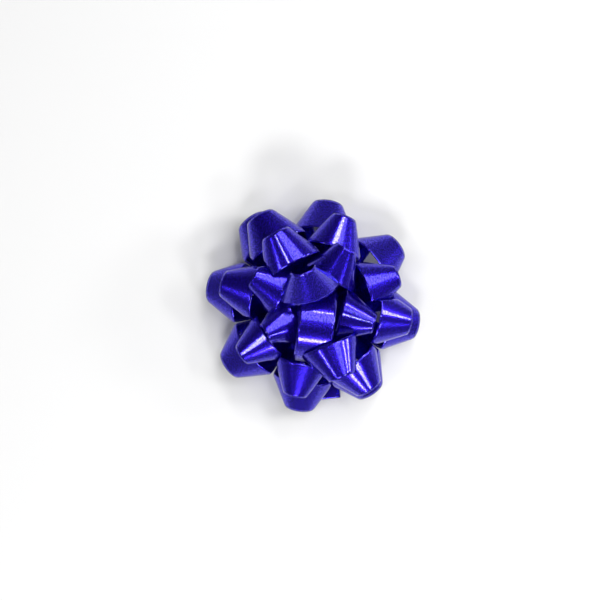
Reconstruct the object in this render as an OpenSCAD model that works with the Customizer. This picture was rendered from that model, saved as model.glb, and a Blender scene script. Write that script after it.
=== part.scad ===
// Pre-made gift bow: a star bow wound from one ribbon, stapled to a card disc
// with a stick-on foam pad below. Millimetres, +Z up, origin at the centre of
// the liner's underside. The winding is cut at each stapled crossing, so every
// loop is a solid of its own.

/* [Ribbon] */
// Width of the ribbon
ribbon_w = 19; // [15:0.5:23]
// Thickness of the ribbon
ribbon_t = 0.08; // [0.06:0.01:0.1]

/* [Loops] */
// Centre to point of a lower loop's cone
lower_len = 71; // [58:1:86]
// Centre to point of a middle loop's cone
middle_len = 70; // [58:1:84]
// Centre to point of an upper loop's cone
upper_len = 62; // [52:1:75]
// Tilt of the middle loops
middle_tilt = 20; // [16:1:24]
// Tilt of the upper loops
upper_tilt = 45; // [37:1:52]
// Length of ribbon in the round loop on top
crown_girth = 126; // [105:1:150]

/* [Base] */
// Diameter of the card disc
card_d = 32; // [28:1:40]
// Thickness of the card
card_t = 0.8; // [0.6:0.1:1.2]
// Side of the foam pad
pad_side = 21; // [18:1:24]
// Thickness of the foam pad
pad_t = 1.6; // [1.2:0.1:2.4]
// Side of the release liner
liner_side = 25; // [23:1:30]
// Thickness of the release liner
liner_t = 0.15; // [0.1:0.05:0.3]
// Thickness of each adhesive layer
glue_t = 0.1; // [0.06:0.01:0.15]

/* [Staple] */
// Length of the staple's crown
staple_w = 8; // [6:0.5:10]
// Diameter of the staple wire
wire_d = 0.5; // [0.4:0.05:0.6]

/* [Tail] */
// Free end of the ribbon past the first crossing
tail_len = 51; // [40:1:60]

/* [Hidden] */
$fn = 48;

ribbon_blue = [0.16, 0.10, 0.66];
// clear gap between one layer of ribbon at the staple and the next
layer_gap = 0.012;
layer = ribbon_t + layer_gap;
// how far each cut end runs past the centre
lap = 4;
card_top = liner_t + 2 * glue_t + pad_t + card_t;
layers = 49;
stack_top = card_top + layers * layer;
wire_gap = 0.02;

// cone shapes: [slope of the cone's axis, height over width of its section]
LOWER_CONE = [17.2, 0.6];
MIDDLE_CONE = [19.5, 0.72];
UPPER_CONE = [20.2, 0.78];
CURL_CONE = [21.5, 0.8];
CROWN_CONE = [1.1, 1];

// each loop in winding order: [heading, length over the tier's, tilt over the tier's]
LOWER = [
    [82, 0, 0], [-145, 0, 0], [-10, 0, 0], [126, 2, 0],
    [-98, -1, 0], [36, -1, 0], [169, 1, 0], [-56, -1, 0]
];
MIDDLE = [
    [71, -3, 0], [-146, -8, 2], [-9, -1, -1], [121, 5, -2],
    [-102, -5, 2], [20, -6, 3], [166, -2, 2], [-56, 1, -1]
];
UPPER = [
    [61, -1, 0], [-151, -4, 10], [118, 10, -7],
    [-68, 7, -3], [154, 0, 0], [-16, -5, 1]
];

// table of a cone: [angle unrolled from the top line, direction from its point]
function cone_dir(c, turn) =
    let (v = [-cos(c[0]), 0, sin(c[0])]
        + tan(c[0]) / c[1] * sin(turn) * [0, 1, 0]
        + tan(c[0]) * cos(turn) * [sin(c[0]), 0, cos(c[0])])
    v / norm(v);
function between(a, b) = 2 * asin(norm(a - b) / 2);
function unrolled(c) =
    let (e = [for (i = [0:60]) cone_dir(c, 3 * i)])
    [for (i = 0, sum = 0; i <= 60;
        sum = sum + (i < 60 ? between(e[i], e[i + 1]) : 0), i = i + 1) [sum, e[i]]];
function columns(t) = [for (k = [0:2]) [for (row = t) [row[0], row[1][k]]]];
function half_angle(t) = t[len(t) - 1][0];

LOWER_T = unrolled(LOWER_CONE);
MIDDLE_T = unrolled(MIDDLE_CONE);
UPPER_T = unrolled(UPPER_CONE);
CURL_T = unrolled(CURL_CONE);
CROWN_T = unrolled(CROWN_CONE);
TABLES = [LOWER_T, MIDDLE_T, UPPER_T, CURL_T, CROWN_T];
COLUMNS = [for (t = TABLES) columns(t)];

function smooth(t) = let (u = min(max(t, 0), 1)) u * u * (3 - 2 * u);

// where a point of the flat strip goes on the cone: s along the ribbon, v across
function on_cone(k, length, s, v) =
    let (top = half_angle(TABLES[k]),
        r = norm([length * cos(top) + v, s]),
        phi = atan2(s, length * cos(top) + v),
        a = abs(phi),
        e = a <= top
            ? [for (c = COLUMNS[k]) lookup(a, c)]
            : [-cos(a - top), -sin(a - top), 0])
    [length + r * e[0], sign(phi) * r * e[1], r * e[2]];

// turns what lies beyond x = at up by angle, round a soft bend
function bent(x, z, at, angle, radius = 8) =
    abs(angle) < 0.01 ? [x, z] :
    let (arc = radius * angle * PI / 180,
        a = min(max((x - at) / arc, 0), 1) * angle,
        rest = max(x - at - arc, 0),
        bx = at + radius * sin(a) + min(x - at, 0) + rest * cos(a),
        bz = radius * (1 - cos(a)) + rest * sin(a))
    [bx - z * sin(a), bz + z * cos(a)];

// the width left to a loop between its neighbours: keeps a side wall on its own side
function squeezed(y, room) =
    let (a = abs(y), knee = 0.93 * room, over = a - knee)
    over <= 0 ? y : sign(y) * (knee + (room - knee) * over / (over + room - knee));

// one point of a loop: [table, length, heading, tilt, level, flat, free, left, right,
// roll, second bend at, second bend angle]
function loop_point(p, s, v, reach) =
    let (q = on_cone(p[0], p[1], s, v),
        out = norm(q),
        lift = smooth((out - p[5]) / (p[6] - p[5])),
        z0 = q.z * lift,
        side = q.y > 0 ? p[7] : p[8],
        start = p[5] - 1,
        span = q.x > start ? start + (q.x - start) * cos(p[3]) - z0 * sin(p[3]) : q.x,
        room = max(span, 0.8 * q.x, 1) * tan(side),
        hold = smooth((out - 14) / 12),
        y0 = q.y + (squeezed(q.y, room) - q.y) * hold,
        z1 = z0 + 0.5 * abs(q.y - y0) * smooth(z0 / 3),
        y1 = y0 * cos(p[9]) - z1 * sin(p[9]) * lift,
        z2 = y0 * sin(p[9]) * lift + z1 * cos(p[9]),
        b = bent(q.x, z2, start + p[10], p[11]),
        c = bent(b[0], b[1], start, p[3]),
        z3 = c[1] + p[4] + layer * smooth(0.5 - s / reach / 1.1))
    [c[0] * cos(p[2]) - y1 * sin(p[2]), c[0] * sin(p[2]) + y1 * cos(p[2]), z3];

// a loop of ribbon as one closed skin, rows along the ribbon and four points across
module loop(p, rows = 44) {
    reach = p[1] * sin(half_angle(TABLES[p[0]])) + lap;
    n = rows;
    m = 3;
    low = [for (i = [0:n]) [for (j = [0:m])
        loop_point(p, reach * (2 * i / n - 1), ribbon_w * (j / m - 0.5), reach)]];
    function at(i, j) = low[min(max(i, 0), n)][min(max(j, 0), m)];
    function normal(i, j) =
        let (c = cross(at(i + 1, j) - at(i - 1, j), at(i, j + 1) - at(i, j - 1)))
        c / norm(c);
    flip = normal(0, 1).z < 0 ? -1 : 1;
    high = [for (i = [0:n]) [for (j = [0:m]) low[i][j] + flip * ribbon_t * normal(i, j)]];
    points = concat([for (r = low) each r], [for (r = high) each r]);
    half = (n + 1) * (m + 1);
    function id(i, j) = i * (m + 1) + j;
    under = [for (i = [0:n - 1], j = [0:m - 1]) each [
        [id(i, j), id(i + 1, j), id(i + 1, j + 1)],
        [id(i, j), id(i + 1, j + 1), id(i, j + 1)]]];
    over = [for (f = under) [f[2] + half, f[1] + half, f[0] + half]];
    sides = [for (i = [0:n - 1]) each [
        [id(i, 0), id(i, 0) + half, id(i + 1, 0) + half],
        [id(i, 0), id(i + 1, 0) + half, id(i + 1, 0)],
        [id(i, m), id(i + 1, m) + half, id(i, m) + half],
        [id(i, m), id(i + 1, m), id(i + 1, m) + half]]];
    ends = [for (j = [0:m - 1]) each [
        [id(0, j), id(0, j + 1) + half, id(0, j) + half],
        [id(0, j), id(0, j + 1), id(0, j + 1) + half],
        [id(n, j), id(n, j) + half, id(n, j + 1) + half],
        [id(n, j), id(n, j + 1) + half, id(n, j + 1)]]];
    faces = concat(under, over, sides, ends);
    color(ribbon_blue)
        polyhedron(points, flip > 0 ? faces : [for (f = faces) [f[2], f[1], f[0]]]);
}

// half the angle to the next loop on each side, at most 30 degrees
function wrap(a) = a - 360 * floor(a / 360);
function left_room(t, i) =
    min(30, min([for (k = [0:len(t) - 1]) if (k != i) wrap(t[k][0] - t[i][0])]) / 2);
function right_room(t, i) =
    min(30, min([for (k = [0:len(t) - 1]) if (k != i) wrap(t[i][0] - t[k][0])]) / 2);

function level(turn) = card_top + (1 + 2 * turn) * layer;
module lower_loop(i) {
    loop([0, lower_len + LOWER[i][1], LOWER[i][0], LOWER[i][2], level(i), 11, 30,
        left_room(LOWER, i), right_room(LOWER, i), 0, 0, 0]);
}
module middle_loop(i) {
    loop([1, middle_len + MIDDLE[i][1], MIDDLE[i][0], middle_tilt + MIDDLE[i][2],
        level(8 + i), 10, 24, left_room(MIDDLE, i), right_room(MIDDLE, i), 0, 0, 0]);
}
module upper_loop(i) {
    loop([2, upper_len + UPPER[i][1], UPPER[i][0], upper_tilt + UPPER[i][2],
        level(16 + i), 9, 20, left_room(UPPER, i), right_room(UPPER, i), 0, 0, 0]);
}
// the steep loop whose open end faces up
module crown_curl() {
    loop([3, upper_len + 9, 107, 62, level(22), 8, 18, 60, 60, 0, 7, 14]);
}
// the round loop over the middle, leaning a little to one side
module crown_loop() {
    crown_len = crown_girth / 2 / sin(half_angle(CROWN_T));
    loop([4, crown_len, -8, 0, level(23), 8, 16, 89, 89, 29, 0, 0]);
}

// the free end of the ribbon, the lowest layer, hanging to near the surface
module ribbon_tail() {
    droop = 1.4;
    steps = 12;
    top = [for (i = [0:steps])
        let (x = -lap + (tail_len + lap) * i / steps)
        [x, card_top - droop * smooth((x - card_d / 2) / (tail_len - card_d / 2))]];
    under = [for (i = [steps:-1:0]) [top[i].x, top[i].y + ribbon_t]];
    color(ribbon_blue)
        rotate([0, 0, -84])
            rotate([90, 0, 0])
                linear_extrude(ribbon_w, center = true)
                    polygon(concat(top, under));
}

// the wire staple: crown on top of the stack, legs down through it, clinched below
module staple() {
    crown_z = stack_top + wire_gap + wire_d / 2;
    foot_z = card_top - card_t - wire_gap - wire_d / 2;
    leg = (staple_w - wire_d) / 2;
    color("silver")
        union() {
            for (s = [-1, 1]) {
                translate([s * leg, 0, foot_z]) cylinder(d = wire_d, h = crown_z - foot_z);
                translate([s * leg, 0, crown_z]) sphere(d = wire_d);
                translate([s * leg, 0, foot_z]) sphere(d = wire_d);
                translate([s * leg, 0, foot_z])
                    rotate([0, -90 * s, 0])
                        cylinder(d = wire_d, h = leg - 0.4);
            }
            translate([-leg, 0, crown_z])
                rotate([0, 90, 0])
                    cylinder(d = wire_d, h = 2 * leg);
        }
}

// hollow that the clinched wire presses into the pad below the card
module clinch_hollow(extra) {
    w = wire_d + 2 * extra;
    translate([0, 0, card_top - card_t - (w + wire_gap) / 2])
        cube([staple_w + 2 * extra, w, w + wire_gap + 0.02], center = true);
}

module card_disc() {
    color([0.93, 0.93, 0.91])
        difference() {
            translate([0, 0, card_top - card_t]) cylinder(d = card_d, h = card_t, $fn = 96);
            for (s = [-1, 1])
                translate([s * (staple_w - wire_d) / 2, 0, card_top - card_t - 1])
                    cylinder(d = wire_d + 0.1, h = card_t + 2);
        }
}

module slab(side, z, thick) {
    translate([-side / 2, -side / 2, z]) cube([side, side, thick]);
}
module adhesive_upper() {
    color([0.9, 0.88, 0.8])
        difference() {
            slab(pad_side, card_top - card_t - glue_t, glue_t);
            clinch_hollow(0.1);
        }
}
module foam_pad() {
    color([0.97, 0.97, 0.96])
        difference() {
            slab(pad_side, liner_t + glue_t, pad_t);
            clinch_hollow(0.1);
        }
}
module adhesive_lower() {
    color([0.9, 0.88, 0.8]) slab(pad_side, liner_t, glue_t);
}
module release_liner() {
    color([0.96, 0.94, 0.86]) slab(liner_side, 0, liner_t);
}

release_liner();
adhesive_lower();
foam_pad();
adhesive_upper();
card_disc();
staple();
ribbon_tail();
lower_loop(0);  // lower_loop_1
lower_loop(1);  // lower_loop_2
lower_loop(2);  // lower_loop_3
lower_loop(3);  // lower_loop_4
lower_loop(4);  // lower_loop_5
lower_loop(5);  // lower_loop_6
lower_loop(6);  // lower_loop_7
lower_loop(7);  // lower_loop_8
middle_loop(0);  // middle_loop_1
middle_loop(1);  // middle_loop_2
middle_loop(2);  // middle_loop_3
middle_loop(3);  // middle_loop_4
middle_loop(4);  // middle_loop_5
middle_loop(5);  // middle_loop_6
middle_loop(6);  // middle_loop_7
middle_loop(7);  // middle_loop_8
upper_loop(0);  // upper_loop_1
upper_loop(1);  // upper_loop_2
upper_loop(2);  // upper_loop_3
upper_loop(3);  // upper_loop_4
upper_loop(4);  // upper_loop_5
upper_loop(5);  // upper_loop_6
crown_curl();
crown_loop();
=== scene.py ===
import math

import bpy
import numpy as np
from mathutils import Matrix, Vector


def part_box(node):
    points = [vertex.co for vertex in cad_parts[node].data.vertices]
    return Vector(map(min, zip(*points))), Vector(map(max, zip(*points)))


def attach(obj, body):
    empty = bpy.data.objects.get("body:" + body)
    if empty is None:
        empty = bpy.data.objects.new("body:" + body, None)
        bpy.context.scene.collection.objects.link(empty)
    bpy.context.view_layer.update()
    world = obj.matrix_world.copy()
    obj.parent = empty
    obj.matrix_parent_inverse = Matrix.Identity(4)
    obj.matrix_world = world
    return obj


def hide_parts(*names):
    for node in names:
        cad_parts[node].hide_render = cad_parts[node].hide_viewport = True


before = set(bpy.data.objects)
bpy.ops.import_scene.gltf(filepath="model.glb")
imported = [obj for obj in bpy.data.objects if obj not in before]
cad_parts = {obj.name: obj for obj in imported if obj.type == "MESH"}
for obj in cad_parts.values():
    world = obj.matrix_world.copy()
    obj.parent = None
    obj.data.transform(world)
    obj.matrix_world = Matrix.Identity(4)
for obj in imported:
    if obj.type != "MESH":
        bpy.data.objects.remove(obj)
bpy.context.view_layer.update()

# Release liner: a square of siliconed paper under the bow, cut from a roll.
# It peels off the adhesive when the bow is used. The paper is thin, cream and
# faintly fibrous, with a waxy face.


def new_material(name):
    material = bpy.data.materials.new(name)
    material.use_nodes = True
    nodes = material.node_tree.nodes
    nodes.clear()
    out = nodes.new("ShaderNodeOutputMaterial")
    shader = nodes.new("ShaderNodeBsdfPrincipled")
    material.node_tree.links.new(shader.outputs["BSDF"], out.inputs["Surface"])
    return material, material.node_tree, shader


def fibre_group():
    """Soft cloud and short fibres, as in paper, board and foam skins."""
    group = bpy.data.node_groups.new("fibre", "ShaderNodeTree")
    for name, value in (("Scale", 400.0), ("Stretch", 4.0)):
        socket = group.interface.new_socket(name, in_out="INPUT", socket_type="NodeSocketFloat")
        socket.default_value = value
    group.interface.new_socket("Cloud", in_out="OUTPUT", socket_type="NodeSocketFloat")
    group.interface.new_socket("Fibre", in_out="OUTPUT", socket_type="NodeSocketFloat")
    nodes, links = group.nodes, group.links
    given = nodes.new("NodeGroupInput")
    out = nodes.new("NodeGroupOutput")
    coord = nodes.new("ShaderNodeTexCoord")
    cloud = nodes.new("ShaderNodeTexNoise")
    cloud.inputs["Scale"].default_value = 90
    cloud.inputs["Detail"].default_value = 4
    stretch = nodes.new("ShaderNodeCombineXYZ")
    stretch.inputs[0].default_value = 1
    stretch.inputs[2].default_value = 1
    spread = nodes.new("ShaderNodeVectorMath")
    spread.operation = "MULTIPLY"
    fibre = nodes.new("ShaderNodeTexNoise")
    fibre.inputs["Detail"].default_value = 3
    links.new(given.outputs["Stretch"], stretch.inputs[1])
    links.new(coord.outputs["Object"], cloud.inputs["Vector"])
    links.new(coord.outputs["Object"], spread.inputs[0])
    links.new(stretch.outputs[0], spread.inputs[1])
    links.new(spread.outputs[0], fibre.inputs["Vector"])
    links.new(given.outputs["Scale"], fibre.inputs["Scale"])
    links.new(cloud.outputs["Fac"], out.inputs["Cloud"])
    links.new(fibre.outputs["Fac"], out.inputs["Fibre"])
    return group


fibre = fibre_group()


def fibrous(name, pale, dark, scale, stretch, roughness, bump):
    material, tree, shader = new_material(name)
    nodes, links = tree.nodes, tree.links
    grain = nodes.new("ShaderNodeGroup")
    grain.node_tree = fibre
    grain.inputs["Scale"].default_value = scale
    grain.inputs["Stretch"].default_value = stretch
    tint = nodes.new("ShaderNodeMix")
    tint.data_type = "RGBA"
    tint.inputs[6].default_value = (*pale, 1)
    tint.inputs[7].default_value = (*dark, 1)
    sum_up = nodes.new("ShaderNodeMath")
    sum_up.operation = "MULTIPLY"
    rough = nodes.new("ShaderNodeMapRange")
    rough.inputs["To Min"].default_value = roughness - 0.08
    rough.inputs["To Max"].default_value = roughness + 0.08
    relief = nodes.new("ShaderNodeBump")
    relief.inputs["Distance"].default_value = bump
    relief.inputs["Strength"].default_value = 0.5
    links.new(grain.outputs["Cloud"], sum_up.inputs[0])
    links.new(grain.outputs["Fibre"], sum_up.inputs[1])
    links.new(sum_up.outputs[0], tint.inputs[0])
    links.new(tint.outputs[2], shader.inputs["Base Color"])
    links.new(grain.outputs["Cloud"], rough.inputs["Value"])
    links.new(rough.outputs[0], shader.inputs["Roughness"])
    links.new(grain.outputs["Fibre"], relief.inputs["Height"])
    links.new(relief.outputs[0], shader.inputs["Normal"])
    return material, shader


def dress(node, material):
    node.data.materials.clear()
    node.data.materials.append(material)


liner_paper, shader = fibrous(
    "liner_paper", (0.88, 0.84, 0.70), (0.78, 0.72, 0.55), 700, 5, 0.42, 0.00003)
shader.inputs["Coat Weight"].default_value = 0.25
shader.inputs["Coat Roughness"].default_value = 0.3
dress(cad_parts["release_liner"], liner_paper)

# Adhesive: two thin layers of clear pressure-sensitive glue, one on each face
# of the foam. Milky where the light catches the coating's ripples.

adhesive, tree, shader = new_material("adhesive")
ripple = tree.nodes.new("ShaderNodeTexNoise")
ripple.inputs["Scale"].default_value = 350
coord = tree.nodes.new("ShaderNodeTexCoord")
tint = tree.nodes.new("ShaderNodeMix")
tint.data_type = "RGBA"
tint.inputs[6].default_value = (0.80, 0.75, 0.60, 1)
tint.inputs[7].default_value = (0.90, 0.88, 0.80, 1)
relief = tree.nodes.new("ShaderNodeBump")
relief.inputs["Distance"].default_value = 0.00005
tree.links.new(coord.outputs["Object"], ripple.inputs["Vector"])
tree.links.new(ripple.outputs["Fac"], tint.inputs[0])
tree.links.new(tint.outputs[2], shader.inputs["Base Color"])
tree.links.new(ripple.outputs["Fac"], relief.inputs["Height"])
tree.links.new(relief.outputs[0], shader.inputs["Normal"])
shader.inputs["Roughness"].default_value = 0.22
dress(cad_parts["adhesive_lower"], adhesive)
dress(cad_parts["adhesive_upper"], adhesive)

# Foam pad: a square of white closed-cell foam, die cut, so its edges are
# crisp but squeezed a little and its sides show open cells.

low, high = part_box("foam_pad")
pad_side = high.x - low.x
pad_thick = high.z - low.z
pad_pinch = 0.0002
dent_deep = 0.00075
dent_half = (0.0052, 0.0012)
bpy.ops.object.select_all(action="DESELECT")
bpy.ops.mesh.primitive_cube_add(size=1, location=(low + high) / 2)
pad = bpy.context.object
pad.name = "foam_square"
pad.scale = (pad_side, pad_side, pad_thick)
bpy.ops.object.transform_apply(location=True, rotation=True, scale=True)
bpy.ops.object.mode_set(mode="EDIT")
bpy.ops.mesh.select_all(action="SELECT")
bpy.ops.mesh.subdivide(number_cuts=11)
bpy.ops.object.mode_set(mode="OBJECT")
middle = (low + high) / 2
for v in pad.data.vertices:
    up = (v.co.z - middle.z) / (pad_thick / 2)
    waist = pad_pinch * (1 - up * up)
    for k in (0, 1):
        if abs(abs(v.co[k]) - pad_side / 2) < 1e-5:
            v.co[k] -= math.copysign(waist, v.co[k])
    # the clinched wire dents the upper face
    if up > 0.99 and abs(v.co.x) < dent_half[0] and abs(v.co.y) < dent_half[1]:
        v.co.z -= dent_deep
soften = pad.modifiers.new("edge", "BEVEL")
soften.width = 0.00012
soften.segments = 2
soften.limit_method = "ANGLE"
soften.angle_limit = math.radians(50)
bpy.ops.object.modifier_apply(modifier="edge")
bpy.ops.object.shade_smooth_by_angle(angle=math.radians(40))

foam, shader = fibrous("foam", (0.90, 0.90, 0.88), (0.72, 0.72, 0.70), 1500, 1, 0.85, 0.00012)
dress(pad, foam)
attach(pad, "bow")
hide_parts("foam_pad")

# Card disc: stiff white board, punched out round. The ribbon is stapled to
# its upper face. Its cut edge is a little darker and rougher.

card, shader = fibrous("card", (0.86, 0.86, 0.83), (0.74, 0.73, 0.69), 900, 3, 0.7, 0.00004)
dress(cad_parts["card_disc"], card)

# Staple: one piece of galvanised wire, driven down through every layer of
# ribbon and the card, and clinched underneath.

staple_wire, tree, shader = new_material("staple_wire")
coord = tree.nodes.new("ShaderNodeTexCoord")
drawn = tree.nodes.new("ShaderNodeTexNoise")
drawn.inputs["Scale"].default_value = 2500
drawn.inputs["Detail"].default_value = 2
rough = tree.nodes.new("ShaderNodeMapRange")
rough.inputs["To Min"].default_value = 0.23
rough.inputs["To Max"].default_value = 0.42
zinc = tree.nodes.new("ShaderNodeMix")
zinc.data_type = "RGBA"
zinc.inputs[6].default_value = (0.62, 0.63, 0.66, 1)
zinc.inputs[7].default_value = (0.78, 0.78, 0.79, 1)
tree.links.new(coord.outputs["Object"], drawn.inputs["Vector"])
tree.links.new(drawn.outputs["Fac"], rough.inputs["Value"])
tree.links.new(rough.outputs[0], shader.inputs["Roughness"])
tree.links.new(drawn.outputs["Fac"], zinc.inputs[0])
tree.links.new(zinc.outputs[2], shader.inputs["Base Color"])
shader.inputs["Metallic"].default_value = 1
dress(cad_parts["staple"], staple_wire)

# Ribbon: one long strip of blue polypropylene, 19 mm wide, with a satin
# pearl face and fine lines along its length from the drawing of the film.
# Each loop is a flat strip rolled round a cone whose point faces outwards.

ribbon_width = 0.019
ribbon_thick = 0.00008

ribbon, tree, shader = new_material("ribbon")
nodes, links = tree.nodes, tree.links
uv = nodes.new("ShaderNodeTexCoord")
lines_map = nodes.new("ShaderNodeMapping")
lines_map.inputs["Scale"].default_value = (4, 36, 1)
lines = nodes.new("ShaderNodeTexNoise")
lines.inputs["Scale"].default_value = 1
lines.inputs["Detail"].default_value = 2
lines.inputs["Roughness"].default_value = 0.5
grain_map = nodes.new("ShaderNodeMapping")
grain_map.inputs["Scale"].default_value = (165, 23, 1)
grain = nodes.new("ShaderNodeTexNoise")
grain.inputs["Scale"].default_value = 1
grain.inputs["Detail"].default_value = 3
grain.inputs["Roughness"].default_value = 0.7
links.new(uv.outputs["UV"], lines_map.inputs["Vector"])
links.new(lines_map.outputs[0], lines.inputs["Vector"])
links.new(uv.outputs["UV"], grain_map.inputs["Vector"])
links.new(grain_map.outputs[0], grain.inputs["Vector"])
depth = nodes.new("ShaderNodeMix")
depth.data_type = "RGBA"
depth.inputs[6].default_value = (0.004, 0.001, 0.20, 1)
depth.inputs[7].default_value = (0.036, 0.009, 0.80, 1)
fleck = nodes.new("ShaderNodeMapRange")
fleck.inputs["From Min"].default_value = 0.47
fleck.inputs["From Max"].default_value = 0.55
links.new(grain.outputs["Fac"], fleck.inputs["Value"])
links.new(fleck.outputs[0], depth.inputs[0])
links.new(depth.outputs[2], shader.inputs["Base Color"])
rough = nodes.new("ShaderNodeMapRange")
rough.inputs["To Min"].default_value = 0.23
rough.inputs["To Max"].default_value = 0.28
links.new(lines.outputs["Fac"], rough.inputs["Value"])
links.new(rough.outputs[0], shader.inputs["Roughness"])
relief = nodes.new("ShaderNodeBump")
relief.inputs["Distance"].default_value = 0.000008
relief.inputs["Strength"].default_value = 0.42
links.new(grain.outputs["Fac"], relief.inputs["Height"])
links.new(relief.outputs[0], shader.inputs["Normal"])
shader.inputs["Metallic"].default_value = 0.85
sparkle = nodes.new("ShaderNodeMapRange")
sparkle.inputs["To Min"].default_value = 0.30
sparkle.inputs["To Max"].default_value = 1.0
links.new(fleck.outputs[0], sparkle.inputs["Value"])
links.new(sparkle.outputs[0], shader.inputs["Coat Weight"])
shader.inputs["Coat Roughness"].default_value = 0.06
shader.inputs["Coat Tint"].default_value = (1.0, 0.95, 1.0, 1)


def cone_table(slope, flatness):
    """Angle unrolled from the cone's top line, against direction from its point."""
    a = math.radians(slope)
    turn = np.radians(np.arange(61) * 3.0)
    direction = (
        np.array([-math.cos(a), 0, math.sin(a)])
        + math.tan(a) / flatness * np.sin(turn)[:, None] * np.array([0, 1, 0])
        + math.tan(a) * np.cos(turn)[:, None] * np.array([math.sin(a), 0, math.cos(a)])
    )
    direction /= np.linalg.norm(direction, axis=1)[:, None]
    step = 2 * np.arcsin(np.linalg.norm(np.diff(direction, axis=0), axis=1) / 2)
    return np.concatenate([[0], np.cumsum(step)]), direction


def smooth(t):
    t = np.clip(t, 0, 1)
    return t * t * (3 - 2 * t)


def bent_up(x, z, start, angle, radius=8.0):
    """Bends what lies past start upwards by an angle, round a radius."""
    if abs(angle) < 0.01:
        return x, z
    turn = math.radians(angle)
    a = np.clip((x - start) / (radius * turn), 0, 1) * turn
    rest = np.maximum(x - start - radius * turn, 0)
    bx = start + radius * np.sin(a) + np.minimum(x - start, 0) + rest * np.cos(a)
    bz = radius * (1 - np.cos(a)) + rest * np.sin(a)
    return bx - z * np.sin(a), bz + z * np.cos(a)


def pressed(y, room):
    """Keeps a side wall on its own side of the neighbour it presses on."""
    a = np.abs(y)
    knee = 0.93 * room
    over = np.maximum(a - knee, 0)
    return np.sign(y) * np.where(over > 0, knee + (room - knee) * over / (over + room - knee), a)


def roll_up(s, v, reach, shape):
    """Where points of the flat strip go: s along it and v across it, in mm."""
    angle, direction = cone_table(*shape["cone"])
    top = angle[-1]
    length = shape["length"]
    r = np.hypot(length * math.cos(top) + v, s)
    phi = np.arctan2(s, length * math.cos(top) + v)
    a = np.abs(phi)
    e = np.stack([np.interp(a, angle, direction[:, k]) for k in range(3)], -1)
    flat = a > top
    e[flat] = np.stack([-np.cos(a - top), -np.sin(a - top), 0 * a], -1)[flat]
    x, y, z = length + r * e[..., 0], np.sign(phi) * r * e[..., 1], r * e[..., 2]
    out = np.sqrt(x * x + y * y + z * z)
    lift = smooth((out - shape["flat"]) / (shape["free"] - shape["flat"]))
    z = z * lift
    start = shape["flat"] - 1
    tilt = math.radians(shape["tilt"])
    span = np.where(x > start, start + (x - start) * math.cos(tilt) - z * math.sin(tilt), x)
    side = np.radians(np.where(y > 0, shape["left"], shape["right"]))
    room = np.maximum(np.maximum(span, 0.8 * x), 1) * np.tan(side)
    held = y + (pressed(y, room) - y) * smooth((out - 14) / 12)
    z = z + 0.5 * np.abs(y - held) * smooth(z / 3)
    lean = math.radians(shape.get("lean", 0))
    y, z = (held * math.cos(lean) - z * math.sin(lean) * lift,
            held * math.sin(lean) * lift + z * math.cos(lean))
    x, z = bent_up(x, z, start + shape.get("curl_at", 0), shape.get("curl", 0))
    x, z = bent_up(x, z, start, shape["tilt"])
    z = z + shape["level"] + layer * smooth(0.5 - s / reach / 1.1)
    h = math.radians(shape["heading"])
    return np.stack([x * math.cos(h) - y * math.sin(h), x * math.sin(h) + y * math.cos(h), z], -1)


def thicken(strip, across):
    """Smooth shading, and the film's thickness on the side given by across."""
    strip.data.polygons.foreach_set("use_smooth", [True] * len(strip.data.polygons))
    wall = strip.modifiers.new("film", "SOLIDIFY")
    wall.thickness = ribbon_thick
    wall.offset = across
    bpy.ops.object.modifier_apply(modifier="film")


def strip_of_ribbon(name, shape):
    """A flat strip of ribbon, cut to length and rolled into its loop."""
    angle, _ = cone_table(*shape["cone"])
    reach = shape["length"] * math.sin(angle[-1]) + lap
    bpy.ops.object.select_all(action="DESELECT")
    bpy.ops.mesh.primitive_grid_add(x_subdivisions=170, y_subdivisions=14, size=1)
    strip = bpy.context.object
    strip.name = name
    flat = np.zeros(len(strip.data.vertices) * 3)
    strip.data.vertices.foreach_get("co", flat)
    flat = flat.reshape(-1, 3)
    s, v = flat[:, 0] * 2 * reach, flat[:, 1] * ribbon_width * 1000
    place = roll_up(s, v, reach, shape) / 1000
    strip.data.vertices.foreach_set("co", place.ravel())
    strip.data.update()
    hub_up = strip.data.polygons[0].normal.z > 0
    thicken(strip, 1 if hub_up else -1)
    dress(strip, ribbon)
    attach(strip, "bow")
    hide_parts(name.replace("ribbon_", ""))
    return strip


# Winding: the lower two tiers go round about 135 degrees at a time and the
# upper six loops fill the gaps. Each one crosses the middle above the last.
# A row is a heading, what the loop has over its tier's length, and over its
# tilt. Values are in mm and degrees.

lap = 4.0
layer = 0.092
card_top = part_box("card_disc")[1].z * 1000
lower = [(82, 0, 0), (-145, 0, 0), (-10, 0, 0), (126, 2, 0),
         (-98, -1, 0), (36, -1, 0), (169, 1, 0), (-56, -1, 0)]
middle_tier = [(71, -3, 0), (-146, -8, 2), (-9, -1, -1), (121, 5, -2),
               (-102, -5, 2), (20, -6, 3), (166, -2, 2), (-56, 1, -1)]
upper = [(61, -1, 0), (-151, -4, 10), (118, 10, -7), (-68, 7, -3), (154, 0, 0), (-16, -5, 1)]
tiers = [("lower_loop", lower, (17.2, 0.6), 71, 0, 11, 30),
         ("middle_loop", middle_tier, (19.5, 0.72), 70, 20, 10, 24),
         ("upper_loop", upper, (20.2, 0.78), 62, 45, 9, 20)]


def room_to_next(tier, i, way):
    here = tier[i][0]
    gaps = [(way * (other[0] - here)) % 360 for k, other in enumerate(tier) if k != i]
    return min(30, min(gaps) / 2)


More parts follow.
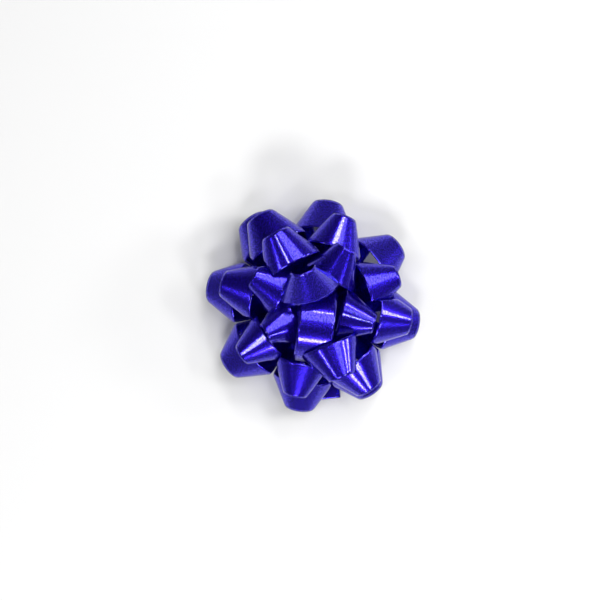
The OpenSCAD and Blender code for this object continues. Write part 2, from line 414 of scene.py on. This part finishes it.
turn = 0
for tier_name, tier, cone, length, tilt, flat, free in tiers:
    for i, (heading, longer, steeper) in enumerate(tier):
        strip_of_ribbon(f"ribbon_{tier_name}_{i + 1}", {
            "cone": cone, "length": length + longer, "tilt": tilt + steeper,
            "heading": heading, "level": card_top + (1 + 2 * turn) * layer,
            "flat": flat, "free": free,
            "left": room_to_next(tier, i, 1), "right": room_to_next(tier, i, -1)})
        turn += 1
strip_of_ribbon("ribbon_crown_curl", {
    "cone": (21.5, 0.8), "length": 71, "tilt": 62, "heading": 107, "curl_at": 7, "curl": 14,
    "level": card_top + (1 + 2 * turn) * layer, "flat": 8, "free": 18, "left": 60, "right": 60})
turn += 1
crown_cone = (1.1, 1)
strip_of_ribbon("ribbon_crown_loop", {
    "cone": crown_cone, "length": 63 / math.sin(cone_table(*crown_cone)[0][-1]), "tilt": 0,
    "heading": -8, "lean": 29, "level": card_top + (1 + 2 * turn) * layer,
    "flat": 8, "free": 16, "left": 89, "right": 89})

# Ribbon tail: the free end past the first crossing, cut square. It is the
# lowest layer, and droops to near the surface between two lower loops.

tail_len = 51.0
tail_drop = 1.4
tail_flat = 16
bpy.ops.object.select_all(action="DESELECT")
bpy.ops.mesh.primitive_grid_add(x_subdivisions=60, y_subdivisions=10, size=1)
tail = bpy.context.object
tail.name = "ribbon_ribbon_tail"
heading = math.radians(-84)
for vert in tail.data.vertices:
    x = -lap + (vert.co.x + 0.5) * (tail_len + lap)
    y = vert.co.y * ribbon_width * 1000
    fall = float(smooth((x - tail_flat) / (tail_len - tail_flat)))
    z = card_top - tail_drop * fall + 0.0012 * y * y * fall
    vert.co = Vector((x * math.cos(heading) - y * math.sin(heading),
                      x * math.sin(heading) + y * math.cos(heading), z)) / 1000
tail.data.update()
thicken(tail, 1)
dress(tail, ribbon)
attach(tail, "bow")
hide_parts("ribbon_tail")

# Surface and studio: a plain pale table, soft light from the upper right
# and a ring of strip boxes that draw the bands on the ribbon.

bpy.ops.object.select_all(action="DESELECT")
bpy.ops.mesh.primitive_plane_add(size=6, location=(0, 0, 0))
table = bpy.context.object
table.name = "pale_table"
surface, tree, shader = new_material("pale_table")
coord = tree.nodes.new("ShaderNodeTexCoord")
mottle = tree.nodes.new("ShaderNodeTexNoise")
mottle.inputs["Scale"].default_value = 3
paint = tree.nodes.new("ShaderNodeMix")
paint.data_type = "RGBA"
paint.inputs[6].default_value = (0.84, 0.84, 0.84, 1)
paint.inputs[7].default_value = (0.86, 0.86, 0.86, 1)
tree.links.new(coord.outputs["Object"], mottle.inputs["Vector"])
tree.links.new(mottle.outputs["Fac"], paint.inputs[0])
tree.links.new(paint.outputs[2], shader.inputs["Base Color"])
shader.inputs["Roughness"].default_value = 0.9
shader.inputs["Specular IOR Level"].default_value = 0.1
dress(table, surface)


def soft_box(name, toward, tilt_from_up, distance, width, height, watts, turn_about=0.0):
    light = bpy.data.lights.new(name, "AREA")
    light.shape = "RECTANGLE"
    light.size = width
    light.size_y = height
    light.energy = watts
    box = bpy.data.objects.new(name, light)
    bpy.context.scene.collection.objects.link(box)
    a, t = math.radians(toward), math.radians(tilt_from_up)
    place = Vector((math.cos(a) * math.sin(t), math.sin(a) * math.sin(t), math.cos(t)))
    box.location = place * distance
    box.rotation_euler = place.to_track_quat("Z", "Y").to_euler()
    box.rotation_euler.rotate_axis("Z", math.radians(turn_about))
    return box


soft_box("key_upper_right", 50, 30, 1.3, 0.8, 0.8, 7.2)
soft_box("strip_front", -92, 48, 1.2, 0.42, 0.18, 6.2)
soft_box("strip_front_right", -42, 44, 1.2, 0.3, 0.08, 1.8)
soft_box("strip_right", 14, 46, 1.2, 0.3, 0.10, 2.2)
soft_box("strip_right_low", 13, 64, 1.2, 0.25, 0.16, 2.5)
soft_box("strip_back", 74, 41, 1.2, 0.3, 0.07, 1.6)
soft_box("strip_left", -155, 37, 1.2, 0.35, 0.07, 1.8)
soft_box("strip_top", 150, 9, 1.4, 0.12, 0.08, 0.8)
soft_box("strip_top_right", 0, 14, 1.4, 0.10, 0.10, 0.8)

world = bpy.data.worlds.new("studio")
world.use_nodes = True
sky = world.node_tree
glow = sky.nodes.new("ShaderNodeMapRange")
glow.inputs["From Min"].default_value = 0.0
glow.inputs["From Max"].default_value = 0.55
glow.inputs["To Min"].default_value = 0.50
glow.inputs["To Max"].default_value = 0.05
coord = sky.nodes.new("ShaderNodeTexCoord")
upward = sky.nodes.new("ShaderNodeSeparateXYZ")
sky.links.new(coord.outputs["Generated"], upward.inputs[0])
sky.links.new(upward.outputs[2], glow.inputs["Value"])
sky.nodes["Background"].inputs[0].default_value = (1, 1, 1, 1)
sky.links.new(glow.outputs[0], sky.nodes["Background"].inputs[1])
bpy.context.scene.world = world
bpy.context.scene.view_settings.view_transform = "Standard"

camera = bpy.data.cameras.new("camera")
camera.lens = 110
camera.sensor_width = 36
eye = bpy.data.objects.new("camera", camera)
bpy.context.scene.collection.objects.link(eye)
eye.location = (-0.0073, 0.0034, 1.0)
bpy.context.scene.camera = eye
